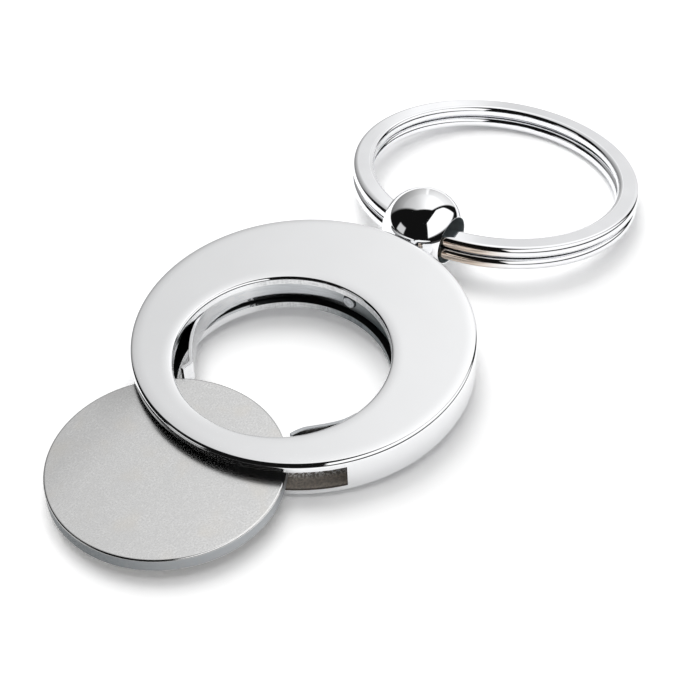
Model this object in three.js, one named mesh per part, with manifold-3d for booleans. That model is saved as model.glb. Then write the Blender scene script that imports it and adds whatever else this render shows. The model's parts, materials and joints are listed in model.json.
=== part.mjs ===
// A keychain that carries a shopping-trolley token: a flat chrome casing with an off-centre
// hole and a slot across its rim, a loose token that slides in the slot between the arms of a
// clip spring, a ball that swivels on a pin through the rim, and a two-turn split ring.
// Lengths are millimetres. +X runs from the token to the split ring and +Z is up.
import * as THREE from "three";
import { mergeVertices } from "three/addons/utils/BufferGeometryUtils.js";
import Module from "manifold-3d";

const wasm = await Module();
wasm.setup();

// The token, drawn part of the way out of its slot and lying slightly askew in it.
const tokenRadius = 11.63;
const tokenThickness = 1.55;
const tokenEdgeRadius = 0.2;
const tokenOutShare = 1.7636; // of its radius: how far its centre lies from the casing's centre
const tokenAside = 1.23; // across the slot
const tokenPitchDeg = 2.5; // how much nearer to level it lies than the casing

// The casing: a flat puck with rounded edges and an off-centre hole.
const holeLip = 0.58; // how far the token's rim reaches past the edge of the hole when put away
const holeShiftShare = 0.3258; // of the hole's radius: how far the hole sits towards the token
const narrowLand = 3.18; // between the hole and the rim at the slot
const casingEdgeRadius = 0.48;
const holeEdgeRadius = 0.45;

// The slot that the token slides in, and the pocket behind it that holds the clip spring.
const slotHeadroom = 1.15;
const slotSideRoom = 2.02;
const pocketRoom = 0.66; // round the token's rim, which the clip spring fills
const plateThickness = 0.97; // above and below the slot
const cutterMargin = 2; // how far a cutting shape runs past the face it opens

// The clip spring: one strip round the pocket on the ball's side, with an arm at each end.
const stripThickness = 0.4;
const stripHeadroom = 0.2; // less tall than the slot
const stripRecess = 0.7; // how far its face lies behind the edge of the hole
const stripHalfTurnDeg = 60;
// Each arm's centre line from where it leaves the pocket wall to its tip, as degrees round
// the hole and a share of the hole's radius.
const leftArmShares = [
  [68, 1.072],
  [76, 1.052],
  [84, 1.024],
  [91, 0.991],
  [98, 0.955],
  [105, 0.92],
  [113, 0.885],
  [120, 0.861],
  [124, 0.848],
  [126.3, 0.855],
  [128.6, 0.891],
  [130.8, 0.926],
];
const rightArmShares = [
  [-68, 1.072],
  [-76, 1.048],
  [-84, 1.02],
  [-92, 0.991],
  [-100, 0.966],
  [-108, 0.943],
  [-116, 0.908],
  [-124, 0.878],
  [-130, 0.869],
  [-134.5, 0.885],
  [-138.2, 0.913],
];

// The split ring: flat wire wound twice, with the step between its turns inside the ball.
const ringMiddleRadius = 15.74;
const wireWidth = 2.56;
const wireThickness = 1.36;
const wireEdgeRadius = 0.6;
const turnGap = 0.2;
const stepHalfAngleDeg = 8; // half the arc over which the wire steps down a turn
const endGapDeg = 1.2; // between the step and each end of the wire
const wireClearance = 0.21; // between the wire's corners and the wall of the bore it hangs in
const ringAside = -0.6; // the ring lies a little to one side in the ball's bore

// The ball and the bore across it.
const ballWall = 2; // from the bore to the outside, at the middle
const bearingDepth = 0.38; // how deep the ball's flat bearing face is cut
const ballGap = 0.2; // between the ball's flat bearing face and the casing's rim
const boreRoom = 0.984; // round the two turns of wire
const boreEdgeRadius = 0.15;

// The pin that the ball turns on, with a head in the bore and a tail riveted over the spring.
const pinRadius = 0.9;
const pinClearance = 0.12;
const pinHeadRadius = 1.45;
const pinHeadThickness = 0.55;
const pinHeadDepth = 0.15; // the head's face below the wall of the bore
const tailRadius = 0.38;
const tailClearance = 0.12;
const rivetRadius = 0.7;
const rivetThickness = 0.25;
const rivetEdge = 0.08; // the bevel round its face
const rivetGap = 0.05;

// Sizes that follow from the ones above.
const holeRadius = tokenRadius - holeLip;
const holeShift = -holeShiftShare * holeRadius;
const pocketRadius = tokenRadius + pocketRoom;
const casingRadius = holeRadius - holeShift + narrowLand;
const slotHeight = tokenThickness + slotHeadroom;
const slotHalfWidth = tokenRadius + slotSideRoom;
const casingThickness = slotHeight + 2 * plateThickness;
const tokenOut = tokenOutShare * tokenRadius;
const stripHeight = slotHeight - stripHeadroom;
const pinHoleRadius = tailRadius + tailClearance;
const ringHalf = wireThickness + turnGap / 2 - wireEdgeRadius;
const wireHalf = wireWidth / 2 - wireEdgeRadius;
const boreRadius = Math.hypot(wireHalf, ringHalf) + wireEdgeRadius + boreRoom;
const wireBehindBall =
  Math.sqrt((boreRadius - wireEdgeRadius - wireClearance) ** 2 - ringHalf ** 2) - wireHalf;
const ballRadius = boreRadius + ballWall;
const ballFlat = ballRadius - bearingDepth; // from the ball's centre to its bearing face
const ballCentre = casingRadius + ballGap + ballFlat;

// How finely round shapes are divided.
const casingSegments = 132;
const holeSegments = 108;
const tokenSegments = 108;
const ballSegments = 52;
const boreSegments = 48;
const pinSegments = 32;
const edgeSegments = 4;
const wireEdgeSegments = 3;
const wireStepDeg = 4;
const stripStepDeg = 4;
const armSamples = 26;
const weldDistance = 1e-4; // points nearer than this are one

const toRadians = THREE.MathUtils.degToRad;

const chrome = new THREE.MeshStandardMaterial({ color: 0xdfe1e4, metalness: 1, roughness: 0.08 });
const springSteel = new THREE.MeshStandardMaterial({ color: 0xc4c8cc, metalness: 1, roughness: 0.2 });
const pinSteel = new THREE.MeshStandardMaterial({ color: 0xa9adb2, metalness: 1, roughness: 0.3 });
const satinSteel = new THREE.MeshStandardMaterial({ color: 0xc3c3c1, metalness: 1, roughness: 0.45 });

// A closed geometry as a solid that can be joined and cut.
function solidOf(geometry) {
  const bare = geometry.clone();
  bare.deleteAttribute("normal");
  bare.deleteAttribute("uv");
  const merged = mergeVertices(bare, weldDistance);
  return new wasm.Manifold(
    new wasm.Mesh({
      numProp: 3,
      vertProperties: merged.attributes.position.array,
      triVerts: new Uint32Array(merged.index.array),
    }),
  );
}

// A finished solid as a named mesh.
function meshOf(name, solid, material) {
  const made = solid.getMesh();
  const geometry = new THREE.BufferGeometry();
  geometry.setAttribute("position", new THREE.BufferAttribute(made.vertProperties, 3));
  geometry.setIndex(new THREE.BufferAttribute(made.triVerts, 1));
  geometry.computeVertexNormals();
  const mesh = new THREE.Mesh(geometry, material);
  mesh.name = name;
  return mesh;
}

// A solid turned round the Z axis from a profile of [radius, height] rows, lowest row first.
function turned(profile, segments) {
  const points = profile.map(([radius, height]) => new THREE.Vector2(radius, height));
  const geometry = new THREE.LatheGeometry(points, segments);
  geometry.rotateX(Math.PI / 2);
  return solidOf(geometry);
}

// The same solid with its axis laid along X, so that heights become distances along X.
function turnedAlongX(profile, segments) {
  const points = profile.map(([radius, height]) => new THREE.Vector2(radius, height));
  const geometry = new THREE.LatheGeometry(points, segments);
  geometry.rotateZ(-Math.PI / 2);
  return solidOf(geometry);
}

// The rows of a quarter-circle edge about [centreRadius, centreHeight], between two angles
// that are measured from the direction pointing straight out.
function arcRows(centreRadius, centreHeight, radius, fromDeg, toDeg, steps) {
  return Array.from({ length: steps + 1 }, (_, i) => {
    const angle = toRadians(THREE.MathUtils.lerp(fromDeg, toDeg, i / steps));
    return [centreRadius + radius * Math.cos(angle), centreHeight + radius * Math.sin(angle)];
  });
}

// A disc with both edges rounded.
function roundedDisc(radius, thickness, edge, segments) {
  const half = thickness / 2;
  return turned(
    [
      [0, -half],
      ...arcRows(radius - edge, edge - half, edge, -90, 0, edgeSegments),
      ...arcRows(radius - edge, half - edge, edge, 0, 90, edgeSegments),
      [0, half],
    ],
    segments,
  );
}

// A cutting shape for a round hole whose two rims are rounded over.
function flaredCutter(radius, halfLength, edge, segments) {
  const end = halfLength + cutterMargin;
  return turned(
    [
      [0, -end],
      [radius + edge, -end],
      ...arcRows(radius + edge, edge - halfLength, edge, 270, 180, edgeSegments),
      ...arcRows(radius + edge, halfLength - edge, edge, 180, 90, edgeSegments),
      [radius + edge, end],
      [0, end],
    ],
    segments,
  );
}

// The casing, with its hole, the slot and pocket, and the pin's hole through the rim.
function makeCasing() {
  const puck = roundedDisc(casingRadius, casingThickness, casingEdgeRadius, casingSegments);
  const hole = flaredCutter(holeRadius, casingThickness / 2, holeEdgeRadius, holeSegments);
  const pocket = turned(
    [
      [0, -slotHeight / 2],
      [pocketRadius, -slotHeight / 2],
      [pocketRadius, slotHeight / 2],
      [0, slotHeight / 2],
    ],
    holeSegments,
  );
  const slotLength = casingRadius + cutterMargin;
  const slot = solidOf(new THREE.BoxGeometry(slotLength, 2 * slotHalfWidth, slotHeight));
  const pinHole = turnedAlongX(
    [
      [0, 0],
      [pinRadius + pinClearance, 0],
      [pinRadius + pinClearance, casingRadius + cutterMargin],
      [0, casingRadius + cutterMargin],
    ],
    pinSegments,
  );
  return puck
    .subtract(hole.translate(holeShift, 0, 0))
    .subtract(pocket.translate(holeShift, 0, 0))
    .subtract(slot.translate(holeShift - slotLength / 2, 0, 0))
    .subtract(pinHole);
}

// The token: a plain disc.
function makeToken() {
  return roundedDisc(tokenRadius, tokenThickness, tokenEdgeRadius, tokenSegments);
}

// A point of the clip spring's centre line, from its angle round the hole and its radius.
function roundHole(angleDeg, radius) {
  const angle = toRadians(angleDeg);
  return new THREE.Vector2(holeShift + radius * Math.cos(angle), radius * Math.sin(angle));
}

// The clip spring's centre line from the tip of one arm to the tip of the other.
function stripLine() {
  const wallRadius = holeRadius + stripRecess + stripThickness / 2;
  const steps = Math.round((2 * stripHalfTurnDeg) / stripStepDeg);
  const wall = Array.from({ length: steps + 1 }, (_, i) =>
    roundHole(THREE.MathUtils.lerp(-stripHalfTurnDeg, stripHalfTurnDeg, i / steps), wallRadius),
  );
  const arm = (shares, first, second) => {
    const points = shares.map(([angleDeg, share]) => roundHole(angleDeg, share * holeRadius));
    return new THREE.SplineCurve([first, second, ...points]).getPoints(armSamples);
  };
  const left = arm(leftArmShares, wall[wall.length - 2], wall[wall.length - 1]);
  const right = arm(rightArmShares, wall[1], wall[0]).reverse();
  return [...right.slice(0, -1), ...wall.slice(2, -2), ...left.slice(1)];
}

// The clip spring: its centre line given thickness and height, with the hole for the rivet.
function makeClipSpring() {
  const line = stripLine();
  const side = (sign) =>
    line.map((point, i) => {
      const before = line[Math.max(i - 1, 0)];
      const after = line[Math.min(i + 1, line.length - 1)];
      const along = after.clone().sub(before).normalize();
      const across = new THREE.Vector2(-along.y, along.x);
      return point.clone().addScaledVector(across, (sign * stripThickness) / 2);
    });
  const outline = new THREE.Shape([...side(-1), ...side(1).reverse()]);
  const strip = new THREE.ExtrudeGeometry(outline, { depth: stripHeight, bevelEnabled: false });
  strip.translate(0, 0, -stripHeight / 2);
  const rivetHole = turnedAlongX(
    [
      [0, 0],
      [pinHoleRadius, 0],
      [pinHoleRadius, casingRadius],
      [0, casingRadius],
    ],
    pinSegments,
  );
  return solidOf(strip).subtract(rivetHole);
}

// The pin, along X in the casing's frame: a head inside the ball, a shank through the ball
// and the rim, and a thin tail riveted over the face of the clip spring.
function makeSwivelPin() {
  const rivetFace = holeShift + holeRadius + stripRecess - rivetGap;
  const shoulder = holeShift + pocketRadius + pinClearance;
  const headFace = ballCentre - boreRadius - pinHeadDepth;
  const headBack = headFace - pinHeadThickness;
  return turnedAlongX(
    [
      [0, rivetFace - rivetThickness],
      [rivetRadius - rivetEdge, rivetFace - rivetThickness],
      [rivetRadius, rivetFace - rivetThickness + rivetEdge],
      [rivetRadius, rivetFace],
      [tailRadius, rivetFace],
      [tailRadius, shoulder],
      [pinRadius, shoulder],
      [pinRadius, headBack],
      [pinHeadRadius, headBack],
      [pinHeadRadius, headFace],
      [0, headFace],
    ],
    pinSegments,
  );
}

// The ball about its own centre, with the pin's side towards -X and its bore along Y.
function makeBall() {
  const flatDeg = THREE.MathUtils.radToDeg(Math.asin(-ballFlat / ballRadius));
  const surface = arcRows(0, 0, ballRadius, flatDeg, 90, ballSegments / 2);
  surface[surface.length - 1] = [0, ballRadius];
  const body = turnedAlongX([[0, -ballFlat], ...surface], ballSegments);
  const mouth = Math.sqrt(ballRadius ** 2 - (boreRadius + boreEdgeRadius) ** 2);
  const bore = flaredCutter(boreRadius, mouth, boreEdgeRadius, boreSegments);
  const pinHole = turnedAlongX(
    [
      [0, -ballRadius],
      [pinRadius + pinClearance, -ballRadius],
      [pinRadius + pinClearance, 0],
      [0, 0],
    ],
    pinSegments,
  );
  const seat = -boreRadius - pinHeadDepth - pinHeadThickness - pinClearance;
  const headRoom = turnedAlongX(
    [
      [0, seat],
      [pinHeadRadius + pinClearance, seat],
      [pinHeadRadius + pinClearance, 0],
      [0, 0],
    ],
    pinSegments,
  );
  return body.subtract(bore.rotate(90, 0, 0)).subtract(pinHole).subtract(headRoom);
}

// The outline of the wire's section as [outwards, upwards] rows, with rounded corners.
function wireSection() {
  const rise = wireThickness / 2 - wireEdgeRadius;
  return [
    [wireHalf, -rise, -90],
    [wireHalf, rise, 0],
    [-wireHalf, rise, 90],
    [-wireHalf, -rise, 180],
  ].flatMap(([x, y, startDeg]) =>
    arcRows(x, y, wireEdgeRadius, startDeg, startDeg + 90, wireEdgeSegments),
  );
}

// The height of the wire's centre at an angle along its two turns: level for nearly a turn,
// down over the step, and level for nearly a turn again.
function wireHeight(angleDeg) {
  const share = THREE.MathUtils.clamp((angleDeg - 360 + stepHalfAngleDeg) / (2 * stepHalfAngleDeg), 0, 1);
  return ((wireThickness + turnGap) / 2) * Math.cos(Math.PI * share);
}

// The split ring about its own centre. The ball is on its -X side, where both ends lie.
function makeSplitRing() {
  const section = wireSection();
  const start = stepHalfAngleDeg + endGapDeg;
  const end = 720 - start;
  const steps = Math.round((end - start) / wireStepDeg);
  const count = section.length;
  const positions = [];
  const triangles = [];
  for (let i = 0; i <= steps; i += 1) {
    const angleDeg = THREE.MathUtils.lerp(start, end, i / steps);
    const angle = toRadians(angleDeg) + Math.PI;
    section.forEach(([outwards, upwards]) => {
      const radius = ringMiddleRadius + outwards;
      positions.push(radius * Math.cos(angle), radius * Math.sin(angle), wireHeight(angleDeg) + upwards);
    });
  }
  for (let i = 0; i < steps; i += 1) {
    for (let j = 0; j < count; j += 1) {
      const next = (j + 1) % count;
      const a = i * count + j;
      const b = i * count + next;
      triangles.push(a, a + count, b, b, a + count, b + count);
    }
  }
  const last = steps * count;
  for (let j = 1; j < count - 1; j += 1) {
    triangles.push(0, j, j + 1, last, last + j + 1, last + j);
  }
  const geometry = new THREE.BufferGeometry();
  geometry.setAttribute("position", new THREE.Float32BufferAttribute(positions, 3));
  geometry.setIndex(triangles);
  return solidOf(geometry);
}

// The angle whose sine times a plus cosine times b gives the wanted height.
function tiltFor(a, b, height) {
  return Math.asin(height / Math.hypot(a, b)) - Math.atan2(b, a);
}

// The casing leans on its low edge at the token's end and on the ball.
const casingCore = casingRadius - casingEdgeRadius;
const casingHalf = casingThickness / 2 - casingEdgeRadius;
const casingTilt = tiltFor(casingCore + ballCentre, casingHalf, ballRadius - casingEdgeRadius);
const casingHeight =
  casingCore * Math.sin(casingTilt) + casingHalf * Math.cos(casingTilt) + casingEdgeRadius;

// The split ring leans from the ball's bore down to the floor at its far end.
const ringReach = ringMiddleRadius + wireHalf;
const ringTilt = tiltFor(ringMiddleRadius + ringReach, ringHalf, ballRadius - wireEdgeRadius);
const ringCentre = ringMiddleRadius * Math.cos(ringTilt) - wireBehindBall;
const ringHeight = ringReach * Math.sin(ringTilt) + ringHalf * Math.cos(ringTilt) + wireEdgeRadius;

// Everything is moved along X so that the origin is under the middle of the object.
const ballX = ballCentre * Math.cos(casingTilt);
const ringLean = ringReach * Math.cos(ringTilt) + ringHalf * Math.sin(ringTilt);
const farEnd = ballX + ringCentre + ringLean + wireEdgeRadius;
const tokenTilt = casingTilt - toRadians(tokenPitchDeg);
const tokenReach = (tokenRadius - tokenEdgeRadius) * Math.cos(tokenTilt) + tokenEdgeRadius;
const tokenDrop = (tokenThickness / 2 - tokenEdgeRadius) * Math.sin(tokenTilt);
const nearEnd = -tokenOut * Math.cos(casingTilt) - tokenReach - tokenDrop;
const middle = (farEnd + nearEnd) / 2;

const token = new THREE.Group();
token.name = "token_slide";
token.position.set(-tokenOut, tokenAside, 0);
token.rotation.y = toRadians(tokenPitchDeg);
token.add(meshOf("token", makeToken(), satinSteel));

const ball = new THREE.Group();
ball.name = "ball_swivel";
ball.position.set(ballCentre, 0, 0);
ball.add(meshOf("ball", makeBall(), chrome));

const casing = new THREE.Group();
casing.name = "casing_body";
casing.position.set(-middle, 0, casingHeight);
casing.rotation.y = -casingTilt;
casing.add(meshOf("casing", makeCasing(), chrome));
casing.add(meshOf("clip_spring", makeClipSpring(), springSteel));
casing.add(meshOf("swivel_pin", makeSwivelPin(), pinSteel));
casing.add(token);
casing.add(ball);

const ring = new THREE.Group();
ring.name = "ring_swing";
ring.position.set(ballX + ringCentre - middle, ringAside, ringHeight);
ring.rotation.y = ringTilt;
ring.add(meshOf("split_ring", makeSplitRing(), chrome));

const keychain = new THREE.Group();
keychain.name = "keychain";
keychain.add(casing);
keychain.add(ring);

export default keychain;
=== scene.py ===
"""Looks for a keychain that carries a trolley token.

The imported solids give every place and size. Each piece here is a finer surface of one of them,
with its own finish. The stage is a white floor under two soft lamps, in a light tent that is dark
on the camera's side.
"""

import json
import math

import bpy
import numpy as np
from bpy.props import FloatProperty, FloatVectorProperty, IntProperty, PointerProperty
from bpy.types import Operator, Panel, PropertyGroup
from mathutils import Matrix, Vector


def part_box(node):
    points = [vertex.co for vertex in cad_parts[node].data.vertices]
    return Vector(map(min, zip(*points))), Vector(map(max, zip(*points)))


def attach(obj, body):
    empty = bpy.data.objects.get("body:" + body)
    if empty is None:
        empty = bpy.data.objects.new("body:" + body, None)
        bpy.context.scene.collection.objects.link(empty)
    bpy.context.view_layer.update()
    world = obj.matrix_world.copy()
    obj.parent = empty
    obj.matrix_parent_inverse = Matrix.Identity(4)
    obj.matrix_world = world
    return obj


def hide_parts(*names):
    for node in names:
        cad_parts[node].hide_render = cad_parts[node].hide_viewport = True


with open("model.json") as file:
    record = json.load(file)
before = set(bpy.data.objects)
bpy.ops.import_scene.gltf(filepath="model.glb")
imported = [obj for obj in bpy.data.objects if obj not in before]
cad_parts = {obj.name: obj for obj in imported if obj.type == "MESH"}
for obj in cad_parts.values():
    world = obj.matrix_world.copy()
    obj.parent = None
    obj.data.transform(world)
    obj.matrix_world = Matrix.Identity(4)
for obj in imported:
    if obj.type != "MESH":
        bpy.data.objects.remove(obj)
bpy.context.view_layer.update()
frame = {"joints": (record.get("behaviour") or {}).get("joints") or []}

bl_info = {
    "name": "Token keychain",
    "version": (1, 0, 0),
    "blender": (4, 5, 0),
    "location": "3D View > Sidebar > Keychain",
    "description": "Builds the surfaces, finishes and stage of a keychain that carries a trolley token",
    "category": "Object",
}

JOINTS = {joint["name"]: joint for joint in frame["joints"]}
BALL_PLACE = JOINTS["ball_swivel"]["pos_m"]
CASING_AXIS = JOINTS["ball_swivel"]["axis"]
RING_PLACE = tuple(np.mean(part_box("split_ring"), axis=0))
MM = 0.001


def amount(name, words, default, **more):
    """A property that holds one number, never below zero."""
    return FloatProperty(name=name, description=words, default=default, min=0, **more)


def length(name, words, default_mm):
    """A length property whose default is given in millimetres."""
    return amount(name, words, default_mm * MM, unit="LENGTH", precision=5)


def angle(name, words, default_deg):
    """An angle property whose default is given in degrees."""
    return FloatProperty(name=name, description=words, default=math.radians(default_deg), subtype="ANGLE")


def colour(name, words, default):
    """A colour property."""
    return FloatVectorProperty(
        name=name, description=words, default=default, size=3, min=0, max=1, subtype="COLOR"
    )


class KeychainCasing(PropertyGroup):
    """Sizes and colours of the casing."""

    radius: length("Radius", "From the casing's centre to its rim", 17.8301)
    thickness: length("Thickness", "From the casing's underside to its top", 4.64)
    edge: length("Edge", "Radius of the rounded rim", 0.5)
    soft: length("Soft", "How wide the faces roll off before their edges", 1.15)
    tilt: angle("Tilt", "How far the faces have tilted where they meet their rounded edges", 10)
    hole_radius: length("Hole radius", "Radius of the off-centre hole", 11.05)
    hole_shift: length("Hole shift", "How far the hole sits towards the token", 3.6001)
    hole_edge: length("Hole edge", "Radius of the rounded edge of the hole", 0.36)
    foot_edge: length("Foot edge", "Radius of the sharper edge of the hole in the underside", 0.12)
    slot_height: length("Slot height", "Height of the slot and of the pocket behind it", 2.7)
    slot_half_width: length("Slot half width", "From the middle of the slot to its side", 13.65)
    pocket_radius: length("Pocket radius", "Radius of the pocket that holds the clip spring", 12.29)
    ball_reach: length("Ball reach", "From the casing's centre to the ball's centre", 22.3304)
    plate: colour("Plate", "Colour of the polished plate", (0.9, 0.905, 0.915))
    bare: colour("Bare metal", "Colour of the unplated metal inside the slot", (0.64, 0.57, 0.5))


class KeychainSpring(PropertyGroup):
    """Sizes and colour of the clip spring."""

    thickness: length("Thickness", "Thickness of the strip", 0.4)
    height: length("Height", "Height of the strip", 2.5)
    recess: length("Recess", "How far the strip's face lies behind the edge of the hole", 0.7)
    half_turn: angle("Half turn", "How far the strip follows the hole each way from the ball", 60)
    edge: length("Edge", "Radius of the strip's edges", 0.09)
    steel: colour("Steel", "Colour of the rolled strip", (0.58, 0.6, 0.62))


class KeychainPin(PropertyGroup):
    """Sizes and colour of the pin that holds the ball to the casing."""

    shank: length("Shank", "Radius of the shank that the ball turns on", 0.9)
    tail: length("Tail", "Radius of the tail, which goes through the strip", 0.38)
    rivet: length("Rivet", "Radius of the riveted end", 0.7)
    rivet_thickness: length("Rivet thickness", "Thickness of the riveted end", 0.25)
    rivet_gap: length("Rivet gap", "Between the riveted end and the strip", 0.05)
    head: length("Head", "Radius of the head in the ball's bore", 1.45)
    head_thickness: length("Head thickness", "Thickness of the head", 0.55)
    head_depth: length("Head depth", "How far the head lies below the wall of the bore", 0.15)
    clearance: length("Clearance", "Room round the pin in the casing and in the ball", 0.12)
    edge: length("Edge", "Radius of the edges of the riveted end and of the head", 0.08)
    steel: colour("Steel", "Colour of the turned pin", (0.5, 0.52, 0.54))


class KeychainToken(PropertyGroup):
    """Sizes and colours of the token."""

    radius: length("Radius", "Radius of the token", 11.63)
    thickness: length("Thickness", "Thickness of the token", 1.55)
    edge: length("Edge", "Radius of the token's edges", 0.2)
    out: length("Out", "From the casing's centre to the token's centre", 20.5107)
    aside: length("Aside", "How far the token lies to one side of the slot", 1.23)
    pitch: angle("Pitch", "How much nearer to level the token lies than the casing", 2.5)
    satin: colour("Satin", "Colour of the token's face", (0.8, 0.8, 0.797))


class KeychainBall(PropertyGroup):
    """Sizes and colours of the ball and the bore across it."""

    radius: length("Radius", "Radius of the ball", 4.6804)
    bore: length("Bore", "Radius of the bore that the ring runs through", 2.6804)
    lip: length("Lip", "Radius of the rounded mouth of the bore", 0.15)
    flat: length("Flat", "From the ball's centre to its bearing face", 4.3004)
    plate: colour("Plate", "Colour of the polished plate", (0.9, 0.905, 0.915))


class KeychainRing(PropertyGroup):
    """Sizes and colours of the split ring."""

    radius: length("Radius", "From the ring's centre to the middle of the wire", 15.74)
    width: length("Width", "Width of the flat wire", 2.56)
    thickness: length("Thickness", "Thickness of the flat wire", 1.36)
    edge: length("Edge", "Radius of the wire's edges", 0.6)
    gap: length("Gap", "Between the ring's two turns", 0.2)
    step: angle("Step", "Half the arc over which the wire steps down a turn", 8)
    end: angle("End", "Between the step and each end of the wire", 1.2)
    place: FloatVectorProperty(
        name="Place", description="The ring's centre", default=RING_PLACE, unit="LENGTH"
    )
    tilt: angle("Tilt", "How far the ring leans down from the ball", 5.7548)
    plate: colour("Plate", "Colour of the polished plate", (0.88, 0.885, 0.9))
    warm: colour("Warm stain", "Colour of the stain on the wire where it enters the ball", (0.62, 0.5, 0.4))


class KeychainStage(PropertyGroup):
    """The floor, the lamps, the tent of light and the camera."""

    floor: colour("Floor", "Colour of the floor", (0.8, 0.8, 0.8))
    seen: amount("Seen", "How much whiter the camera sees the floor near the keychain", 1.66)
    seen_far: amount("Seen far", "How much whiter still the camera sees it far off", 2.4)
    mirrored: amount("Mirrored", "How much whiter the metal shows the floor", 1.67)
    tent: amount("Tent", "How bright the tent is, 1 is white", 1.0)
    fill: amount("Fill", "Light that reaches matt surfaces from all round", 0.35)
    behind: amount("Behind", "Power of the soft lamp behind", 0.875, unit="POWER")
    above: amount("Above", "Power of the soft lamp overhead", 0.5, unit="POWER")
    lamp_size: length("Lamp size", "Diameter of each soft lamp", 360)
    lens: amount("Lens", "Focal length of the camera", 73.279, unit="CAMERA")
    rows: IntProperty(name="Rows", description="How many divisions a full turn has", default=480, min=64)


# Places


def frame_matrix(along, up, origin):
    """Matrix from millimetres on the axes along, up x along and up to metres in the part."""
    across = np.cross(up, along)
    made = np.identity(4)
    made[:3, 0], made[:3, 1], made[:3, 2] = MM * along, MM * across, MM * up
    made[:3, 3] = origin
    return Matrix(made.tolist())


def ball_frame(back=0.0):
    """Matrix from millimetres to the part: +X out of the casing along the pin, the ball's bore along Y,
    and the origin at the ball's centre or as far back along X as is given."""
    along = np.array(CASING_AXIS)
    return frame_matrix(along, np.cross(along, (0, 1, 0)), np.array(BALL_PLACE) - back * along)


def casing_frame(scene):
    """Matrix from the casing's own millimetres to the part: +X towards the ball, +Z out of its top."""
    return ball_frame(scene.keychain_casing.ball_reach)


def turned_about_y(turn):
    """The X and Z axes after a turn about Y, positive from Z towards X."""
    c, s = math.cos(turn), math.sin(turn)
    return np.array((c, 0, -s)), np.array((s, 0, c))


def token_frame(scene):
    """Matrix from the token's own millimetres to the part, with its centre in the slot's middle plane."""
    token = scene.keychain_token
    casing = np.array(casing_frame(scene))
    origin = casing @ (-token.out / MM, token.aside / MM, 0, 1)
    lean = math.atan2(CASING_AXIS[2], CASING_AXIS[0]) - token.pitch
    along, up = turned_about_y(-lean)
    return frame_matrix(along, up, origin[:3])


def ring_frame(scene):
    """Matrix from the ring's own millimetres to the part: its ends towards -X."""
    ring = scene.keychain_ring
    along, up = turned_about_y(ring.tilt)
    return frame_matrix(along, up, np.array(ring.place))


# Surfaces


# How far the last row of a flat lies from the flat's edge, in millimetres.
HOLD = 0.02

# Divisions of a full turn on the pin and on the small cutting tools.
SMALL_TURN = 96


def corner(radius, height, round_mm, start_deg, hold=HOLD, steps=10):
    """Rows of a rounded corner at (radius, height): a quarter circle whose outward direction turns
    from start_deg by 90 degrees, with one more row a hold's length before and after it, so that
    the flats on both sides keep a level shading."""
    turn = np.radians(start_deg + np.linspace(0, 90, steps + 1))
    middle = np.radians(start_deg + 45)
    inwards = math.sqrt(2) * np.array((math.cos(middle), math.sin(middle)))
    centre = np.array((radius, height)) - round_mm * inwards
    arc = centre + round_mm * np.stack((np.cos(turn), np.sin(turn)), 1)
    ahead = np.array((-np.sin(turn[0]), np.cos(turn[0])))
    beyond = np.array((-np.sin(turn[-1]), np.cos(turn[-1])))
    return np.vstack((arc[:1] - hold * ahead, arc, arc[-1:] + hold * beyond))


def rolled_edge(radius, half, round_mm, soft, tilt, soft_steps=15, steps=12):
    """Rows from a face at half height, over its edge, to the wall at the radius. The face rolls down
    over a soft width, with a slope that grows as the square of the way up to the tilt, and a circle
    turns it from there to the wall."""
    drop = soft * math.tan(tilt) / 3
    way = np.linspace(0, 1, soft_steps)
    face = np.stack((radius - round_mm * (1 - math.sin(tilt)) - soft * (1 - way), half - drop * way**3), 1)
    turn = np.linspace(tilt, math.pi / 2, steps + 1)[1:]
    arc = np.stack((np.sin(turn), np.cos(turn)), 1) - (1, math.cos(tilt))
    arc = round_mm * arc + (radius, half - drop)
    return np.vstack((face[:1] - (HOLD, 0), face, arc, arc[-1:] - (0, HOLD)))


def rounded_box(width, height, round_mm, steps=8):
    """A closed outline: a width by height box with its four corners rounded, anticlockwise."""
    x, y = width / 2, height / 2
    corners = ((x, -y, -90), (x, y, 0), (-x, y, 90), (-x, -y, 180))
    return np.vstack([corner(a, b, round_mm, start, steps=steps) for a, b, start in corners])


def circles(rows, count):
    """Points of a stack of circles: row k is the circle of radius rows[k, 1] about (rows[k, 0], 0)
    at the height rows[k, 2], and point j of each row stands at the angle 360 j / count."""
    turn = np.linspace(0, 2 * math.pi, count, endpoint=False)
    x = rows[:, 0, None] + rows[:, 1, None] * np.cos(turn)
    y = rows[:, 1, None] * np.sin(turn)
    return np.stack((x, y, np.broadcast_to(rows[:, 2, None], x.shape)), 2)


def centred(profile, centre=0.0):
    """A profile of (radius, height) rows as circle rows about one centre."""
    return np.column_stack((np.full(len(profile), centre), profile))


def carried(path, across, outline):
    """An outline carried along a level path: each outline point (a, b) becomes path + a across,
    raised by b. A path with a third column gives its own height."""
    level = path[:, None, :2] + outline[None, :, 0, None] * across[:, None, :]
    base = path[:, 2] if path.shape[1] > 2 else np.zeros(len(path))
    height = base[:, None] + outline[None, :, 1]
    return np.concatenate((level, height[:, :, None]), 2)


def around(values):
    """The running length along a list of points, from zero."""
    return np.concatenate(([0.0], np.cumsum(np.linalg.norm(np.diff(values, axis=0), axis=1))))


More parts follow.
